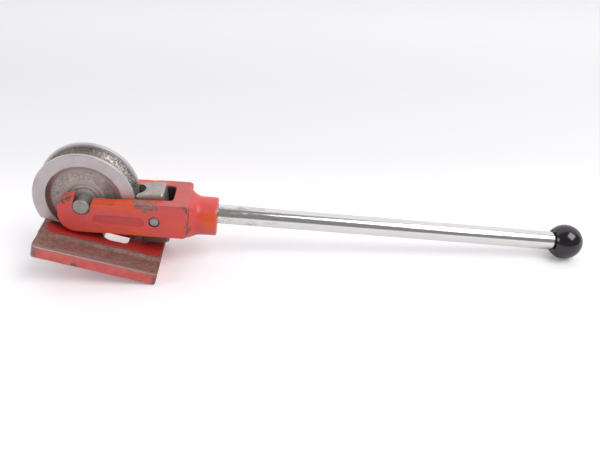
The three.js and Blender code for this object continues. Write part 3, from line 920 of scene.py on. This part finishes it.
def build_socket_screw(name, node, thread, head, bottom, tip, matrix, body, material, centre=(0.0, 0.0)):
    """A screw along z with its socket at the bottom. A set screw has a head as wide as its thread."""
    tall = 2 * thread if head > thread else 0.6
    profile = [(0, bottom), (head - 0.5, bottom), (head, bottom + 0.5), (head, bottom + tall)]
    if head > thread:
        profile.append((thread, bottom + tall))
    ridge = bottom + tall + 0.4
    while ridge + 0.9 < tip - 0.5:
        profile += [(thread, ridge), (thread - 0.35, ridge + 0.45)]
        ridge += 0.9
    profile += [(thread, ridge), (thread - 0.5, tip), (0, tip)]
    screw = lathe(name, "z", profile, 64, centre)
    cut(screw, hex_cutter(thread * (0.96 if head > thread else 0.6), bottom - 1, bottom + thread, centre))
    bevel(screw, 0.12, 2, 40)
    set_attribute(screw, "edge", convexity(screw, 2))
    return place(screw, matrix, body, material, "black_oxide", node, sharp=30)


# ---------------- the lever


def head_section(across, tall, middle, power, points=48):
    """A rounded rectangle that turns into a circle as the power falls to 2."""
    outline = []
    for i in range(points):
        angle = 2 * math.pi * (i + 0.5) / points
        c, q = math.cos(angle), math.sin(angle)
        a = across * math.copysign(abs(c) ** (2 / power), c)
        b = tall * math.copysign(abs(q) ** (2 / power), q)
        outline.append((a, middle + b))
    return outline


def fork_shoulder():
    """The sweep from the square head of the fork to its round neck."""
    start, end = HEAD_END - 4.0, HEAD_END + 9.5
    sections = []
    steps = 16
    for i in range(steps + 1):
        u = i / steps
        keep = (1 - u) ** 2.6
        across = NECK_RADIUS + (ARM_OUTER + 0.2 - NECK_RADIUS) * keep
        tall = NECK_RADIUS + (14.4 - NECK_RADIUS) * keep
        middle = NECK_Z + (-8.0 - NECK_Z) * keep
        sections.append((start + (end - start) * u, head_section(across, tall, middle, 2 + 9 * keep)))
    return loft("shoulder", "x", sections)


def fork_solid():
    """The cast outside of the fork with its neck and the cavity between the arms."""
    side = arc(-4.5, -8.6, 13.7, 175, 270, 16)
    side += [(70, ARM_BOTTOM)]
    side += arc(HEAD_END - 4.2, ARM_BOTTOM + 4.0, 4.0, 275, 360, 8)
    side += arc(HEAD_END - 2.6, 3.6, 3.0, 0, 90, 5)
    side += [(60, 6.3), (39, 5.3), (28, 4.6), (9, 4.0), (3, 3.6)]
    side += [(-1, 9.4), (-4.3, 9.9), (-7.6, 8.3), (-10.6, 7.3), (-13.6, 5.5), (-16.4, 2.9), (-18, -0.3)]
    fork = prism("lever_fork_casting", "y", side, -ARM_OUTER, ARM_OUTER)
    neck = rounded([(0, HEAD_END - 2), (11, HEAD_END - 2), (NECK_RADIUS, HEAD_END + 4),
                    (NECK_RADIUS, NECK_END), (0, NECK_END)], 0.9, 4)
    join(fork, fork_shoulder(), lathe("neck", "x", neck, 96, (0, NECK_Z)))
    cavity = [(-40, -ARM_INNER)] + arc(CAVITY_END - 4, -ARM_INNER + 4, 4, 270, 360, 8)
    cavity += arc(CAVITY_END - 4, ARM_INNER - 4, 4, 0, 90, 8) + [(-40, ARM_INNER)]
    cut(fork, prism("cavity", "z", cavity, -60, 40))
    cast(fork, 0.45, 7)
    ripple(fork, [(0.30, 16.0), (0.10, 5.0), (0.04, 1.5)])
    return fork


def cut_fork(fork):
    """Machines the hooks, the recess and the bores."""
    lean = Vector((math.sin(HOOK_LEAN), math.cos(HOOK_LEAN)))
    across = Vector((math.cos(HOOK_LEAN), -math.sin(HOOK_LEAN)))
    angle = -math.degrees(HOOK_LEAN)
    slot = arc(0, 0, HOOK_RADIUS, angle, angle - 180, 24)
    mouth = ((-6.35, 8.2), (-7.4, 20), (7.4, 20), (6.35, 8.2))
    slot += [tuple(across * aside + lean * up) for aside, up in mouth]
    cut(fork, prism("slot", "y", slot, -40, 40))
    holes = [loft("pill", "y", [
        (-ARM_OUTER - 2, pill(4.5)),
        (-ARM_OUTER + 0.15, pill(4.1)),
        (-ARM_OUTER + PILL_DEPTH, pill(3.7)),
    ])]
    holes.append(bar("hole", "y", SHOE_PIN_RADIUS + 0.07, -40, 40, SHOE_PIN, 96))
    for y in (-ARM_OUTER, ARM_OUTER):
        sink = [
            (0, y - 0.4),
            (SHOE_PIN_RADIUS - 0.1, y - 0.4),
            (SHOE_PIN_RADIUS + 0.3, y),
            (SHOE_PIN_RADIUS + 1.1, y + 0.8),
            (0, y + 0.8),
        ]
        if y > 0:
            sink = [(r, 2 * y - d) for r, d in reversed(sink)]
        holes.append(lathe("sink", "y", sink, 96, SHOE_PIN))
    holes.append(bar("bore", "x", ROD_RADIUS + 0.08, ROD_START - 0.5, NECK_END + 5, (0, ROD_Z), 96))
    holes.append(bar("hole", "z", 3.06, -40, ROD_Z - 5, (92, 0)))
    holes.append(bar("hole", "z", 2.06, -40, SHOE_PIN[1] - 3, (SHOE_PIN[0], 16)))
    cut(fork, *holes)


def rise(value, low, high):
    """0 below low and 1 above high, straight in between."""
    return np.clip((value - low) / (high - low), 0, 1)


def build_fork(material):
    fork = fork_solid()
    cut_fork(fork)
    places = read_vectors(fork.data, "co")
    x, y, z = places.T
    edge = convexity(fork, 10)
    off_pill = np.hypot(np.maximum(np.abs(x - PILL_X) - PILL_REACH, 0), z - PILL_Z)
    near_pill = (off_pill < 5.5) & (y < -ARM_OUTER + 1.4)
    set_attribute(fork, "edge", np.where(near_pill, np.clip(edge, -0.02, 0.03), edge))
    set_attribute(fork, "wear", spots(places, [
        (-9, -ARM_OUTER, 6, 4.5), (-13, -ARM_OUTER, 3, 3.5), (78, -ARM_OUTER, 4, 5),
        (79, -18, -14, 7), (-3, 14, 9, 5), (20, ARM_OUTER, 4, 7), (78, ARM_OUTER, -8, 9),
    ]))
    # The pill recess floor, which the paint darkens as painted shade.
    pill_floor_shade = (off_pill < 4.3) & (np.abs(y + ARM_OUTER - PILL_DEPTH) < 0.3)
    off_pin = np.hypot(x - SHOE_PIN[0], z - SHOE_PIN[1])
    ring = np.clip(1 - np.abs(off_pin - 4.5) / 0.9, 0, 1) * (np.abs(y) > 18)
    slot_wall = (np.hypot(x, z) < 10) & (z < 9) & (np.hypot(x, z) < HOOK_RADIUS + 0.25)
    cavity_in_shade = (np.abs(y) < ARM_INNER + 0.4) & (x < CAVITY_END + 0.6)
    # Grime round the shoe pin, darker on the hook's slot wall, and painted shade on every face inside the
    # cavity between the arms.
    grime_and_shade = np.maximum.reduce([ring * 0.25, slot_wall * 0.75, cavity_in_shade * 0.7])
    set_attribute(fork, "grime_and_shade", np.where(near_pill, -1.0, grime_and_shade))
    set_attribute(fork, "recess", pill_floor_shade)
    arm_top = rise(z, -2, 4) * rise(x, 5, 14) * rise(x, 62, 46)
    # Painted highlight: the lit front side of the neck turns orange.
    neck_lit_side = 0.9 * rise(x, 84, 95) * rise(z, -20, -13) * rise(z, -1, -6) * (y < 6)
    arm_foot = 0.55 * rise(z, -15, -20) * rise(x, 0, 12) * rise(x, 66, 50)
    set_attribute(fork, "orange_rubbed_and_lit", np.where(cavity_in_shade, 0.0, arm_top + neck_lit_side + arm_foot))
    set_attribute(fork, "scuff", spots(places, [(42, -17, 5.5, 7), (47, -18, 4.5, 8), (53, -18, 4, 6)]))
    return place(fork, LEVER, "lever", material, "red_paint", "lever_fork")


def pill(half_height):
    """The outline of the blank, round-ended recess on the side of the fork."""
    left = arc(PILL_X - PILL_REACH, PILL_Z, half_height, 90, 270, 16)
    return left + arc(PILL_X + PILL_REACH, PILL_Z, half_height, -90, 90, 16)


def build_rod(material):
    end = KNOB_X - KNOB_FLAT + 0.85
    profile = rounded([
        (0, ROD_START),
        (ROD_RADIUS - 0.8, ROD_START),
        (ROD_RADIUS, ROD_START + 0.8),
        (ROD_RADIUS, NECK_END + 40),
        (ROD_RADIUS, NECK_END + 140),
        (ROD_RADIUS, end - 0.7),
        (ROD_RADIUS - 0.7, end),
        (4, end),
        (4, KNOB_X + 4),
        (3.2, KNOB_X + 5),
        (0, KNOB_X + 5),
    ], 0.3, 3)
    rod = lathe("handle_rod_chromed", "x", profile, 128, (0, ROD_Z))
    return place(rod, LEVER, "lever", material, "chrome", "handle_rod", sharp=40)


def build_knob(material):
    """The ball, with a small turned recess that the rod goes into."""
    flat = KNOB_X - KNOB_FLAT
    flat_angle = math.acos(-KNOB_FLAT / KNOB_RADIUS)
    steps = 48
    angles = [flat_angle * (1 - i / steps) for i in range(steps)]
    ball = [(KNOB_RADIUS * math.sin(a), KNOB_X + KNOB_RADIUS * math.cos(a)) for a in angles]
    recess = [(0, flat + 1.1), (ROD_RADIUS + 1.2, flat + 1.1), (ROD_RADIUS + 1.3, flat + 0.15)]
    collar = rounded(recess + [ball[0], ball[3]], 0.35, 4)
    profile = collar + ball[4:] + [(0, KNOB_X + KNOB_RADIUS)]
    knob = lathe("ball_knob_moulded", "x", profile, 128, (0, ROD_Z))
    cut(knob, prism("socket", "x", hexagon(6.1, (0, ROD_Z)), flat - 3, KNOB_X + 6.6))
    return place(knob, LEVER, "lever", material, "black_plastic", "ball_knob", sharp=40)


def build_insert(material):
    """The threaded hexagon moulded into the ball, with two grooves that stop it pulling out."""
    start, end = KNOB_X - KNOB_FLAT + 1.2, KNOB_X + 6.4
    insert = prism("knob_insert_grooved", "x", hexagon(6.0, (0, ROD_Z)), start, end)
    bevel(insert, 0.25, 2, 25)
    for at in (start + 4.5, start + 10.5):
        ring = [(5.3, at - 0.8), (7.0, at - 0.8), (7.0, at + 0.8), (5.3, at + 0.8)]
        cut(insert, lathe("groove", "x", ring, 64, (0, ROD_Z)))
    cut(insert, bar("bore", "x", 4.08, start - 3, KNOB_X + 5.4, (0, ROD_Z), 64))
    set_attribute(insert, "edge", convexity(insert, 2))
    return place(insert, LEVER, "lever", material, "brass", "knob_insert", sharp=30)


def build_shoe(material):
    side = [
        (SHOE_FACE, SHOE_BOTTOM),
        (SHOE_BACK, SHOE_BOTTOM),
        (SHOE_BACK, SHOE_TOP),
        (SHOE_FACE, SHOE_TOP),
    ]
    shoe = prism("pressure_shoe_ground", "y", side, -SHOE_HALF, SHOE_HALF)
    bevel(shoe, 1.1, 1)
    groove = bar("groove", "z", TUBE_GROOVE, -60, 60, (SHOE_FACE - 1.9, 0), 128)
    cut(shoe, groove, bar("hole", "y", SHOE_PIN_RADIUS + 0.08, -30, 30, (0, 0), 96))
    cast(shoe, 0.35, 1)
    set_attribute(shoe, "edge", convexity(shoe, 4))
    return place(shoe, SHOE, "shoe", material, "ground_steel", "pressure_shoe", sharp=30)


# ---------------- stage

ROOM_LEVEL, TENT_LEVEL = 0.27, 1.0


def build_stage():
    bm = bmesh.new()
    half = 6.0
    corners = ((-half, -half), (half, -half), (half, half), (-half, half))
    bm.faces.new([bm.verts.new((x, y, 0.0)) for x, y in corners])
    floor = make_object("floor", bm)
    floor.location.z = CAD_BOX[0].z
    floor.data.materials.append(floor_white())


def area_light(name, place_at, target, size, power, color=(1.0, 1.0, 1.0)):
    light = bpy.data.lights.new(name, "AREA")
    light.shape = "RECTANGLE"
    light.size, light.size_y = size
    light.energy = power
    light.color = color
    obj = bpy.data.objects.new(name, light)
    bpy.context.scene.collection.objects.link(obj)
    obj.location = place_at
    obj.rotation_euler = (Vector(target) - Vector(place_at)).to_track_quat("-Z", "Y").to_euler()
    return obj


def build_light():
    """A white tent behind the tool, a dim room in front, and softboxes high right and low left."""
    world = bpy.data.worlds.new("studio")
    bpy.context.scene.world = world
    world.use_nodes = True
    nodes, links = world.node_tree.nodes, world.node_tree.links
    direction = nodes.new("ShaderNodeTexCoord")
    split = nodes.new("ShaderNodeSeparateXYZ")
    links.new(direction.outputs["Generated"], split.inputs[0])
    tent = nodes.new("ShaderNodeMapRange")
    tent.interpolation_type = "SMOOTHSTEP"
    for number, socket in zip((0.0, 0.05, 0.30, ROOM_LEVEL, TENT_LEVEL), tent.inputs):
        socket.default_value = number
    links.new(split.outputs[1], tent.inputs[0])
    background = nodes["Background"]
    background.inputs["Color"].default_value = (1.0, 0.99, 1.01, 1.0)
    links.new(tent.outputs[0], background.inputs["Strength"])
    area_light("softbox_main", (0.95, -0.58, 1.6), (0.0, 0.0, 0.03), (1.3, 1.2), 23.0)
    area_light("softbox_low", (-1.2, -0.3, 0.6), (-0.1, 0.0, 0.05), (0.5, 0.5), 3.0)


def build_camera():
    """Where the photographer stood: in front, looking down by about 32 degrees."""
    data = bpy.data.cameras.new("camera")
    data.sensor_width = 36.0
    data.lens = 38.43
    camera = bpy.data.objects.new("camera", data)
    bpy.context.scene.collection.objects.link(camera)
    camera.location = (-0.0352, -0.42634, 0.30395)
    pitch, roll, yaw = math.radians(32.40), math.radians(1.81), math.radians(2.59)
    look_down = Matrix.Rotation(math.pi / 2 - pitch, 4, "X")
    turn = Matrix.Rotation(-yaw, 4, "Z") @ look_down @ Matrix.Rotation(roll, 4, "Z")
    camera.rotation_euler = turn.to_euler()
    bpy.context.scene.camera = camera


# ---------------- build


def build():
    red_lever, red_foot = lever_paint(), foot_paint()
    pin_steel = bare_steel("pin_steel", PIN_STEEL, (0.33, 0.305, 0.285), 0.42, (1.0, 0.3, 1.0), 0.5)
    shoe_steel = bare_steel("shoe_steel", (0.54, 0.49, 0.475), (0.41, 0.36, 0.34),
                            0.42, (0.15, 1.0, 1.0), 0.5, brown_below=-8.0)
    dowel_steel = bare_steel("dowel_steel", (0.40, 0.39, 0.385), (0.29, 0.28, 0.275),
                             0.38, (1.0, 1.0, 0.2), 0.4)
    black = black_screw()
    build_foot(red_foot)
    build_former(former_steel())
    build_pin("pivot_pin_steel", PIN_RADIUS, PIN_HALF, FOOT, "base", pin_steel, "turned_steel")
    for x, side in zip(SCREWS_AT, ("left", "right")):
        build_socket_screw(f"former_screw_{side}_detailed", f"former_screw_{side}", 3.0, 5.0,
                           FOOT_BOTTOM + 0.4, -16.0, FOOT, "base", black, (x, 0))
    build_socket_screw("pivot_pin_set_screw_detailed", "pivot_pin_set_screw", 2.5, 2.5,
                       -16.0, -PIN_RADIUS - 0.1, FOOT, "base", black)
    build_fork(red_lever)
    build_rod(rod_chrome())
    build_knob(knob_black())
    build_pin("shoe_pin_steel", SHOE_PIN_RADIUS, ARM_OUTER - 0.1, LEVER, "lever",
              dowel_steel, "ground_steel", SHOE_PIN)
    build_socket_screw("handle_set_screw_detailed", "handle_set_screw", 3.0, 3.0,
                       -25.6, ROD_Z - ROD_RADIUS - 0.1, LEVER, "lever", black, (92, 0))
    build_socket_screw("shoe_pin_set_screw_detailed", "shoe_pin_set_screw", 2.0, 2.0,
                       -21.8, SHOE_PIN[1] - SHOE_PIN_RADIUS - 0.1, LEVER, "lever", black,
                       (SHOE_PIN[0], 16))
    build_shoe(shoe_steel)
    for x, side in zip(SCREWS_AT, ("left", "right")):
        build_washer(side, x, black)
    build_dowel("front", -DOWEL_Y, dowel_steel)
    build_dowel("rear", DOWEL_Y, dowel_steel)
    build_insert(insert_brass())


build()
build_stage()
build_light()
build_camera()
bpy.context.scene.view_settings.view_transform = "Standard"
